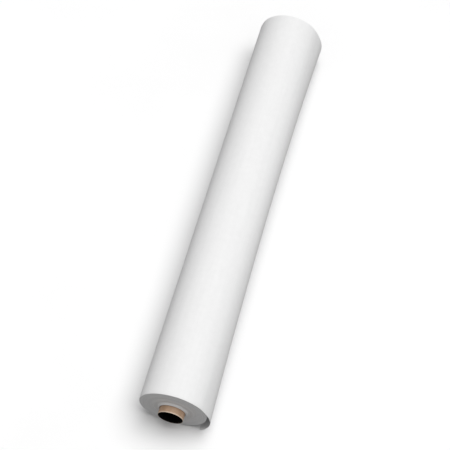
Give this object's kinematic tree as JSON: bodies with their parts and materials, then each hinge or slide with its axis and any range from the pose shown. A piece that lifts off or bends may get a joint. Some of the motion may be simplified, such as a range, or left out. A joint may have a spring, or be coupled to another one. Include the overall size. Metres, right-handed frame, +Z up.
{
  "type": "backdrop paper roll",
  "caption": "Wide roll of white seamless studio backdrop paper on a hollow spiral-wound board core that sticks out at both ends, with a loose free end curling off the side.",
  "frame": {"origin": "centre of the core's bore, half way along the roll", "axes": "+X along the roll and its core, +Z up with the roll lying on the floor; the paper winds over the top and its free end hangs down the -Y side"},
  "size_m": [1.4, 0.2053, 0.1949],
  "materials": {
    "paper": "matte uncoated white",
    "kraft_wrap": "matte kraft",
    "core_board": "matte grey-brown board",
    "core_liner": "matte black",
    "tape": "satin tissue tape"
  },
  "bodies": {
    "roll": {"wound_paper": "paper", "core_outer_wrap": "kraft_wrap", "core_outer_ply": "core_board", "core_middle_ply": "core_board", "core_inner_ply": "core_board", "core_inner_liner": "core_liner", "inner_end_tape": "tape"},
    "free_end": {"paper_free_end": "paper"}
  },
  "joints": [
    {"name": "free_end_lift", "type": "hinge", "parent": "roll", "child": "free_end", "pos_m": [0, -0.08882, 0.04142], "axis": [-1, 0, 0], "range_deg": [0, 60], "stiffness_Nm_per_rad": 0.03}
  ]
}
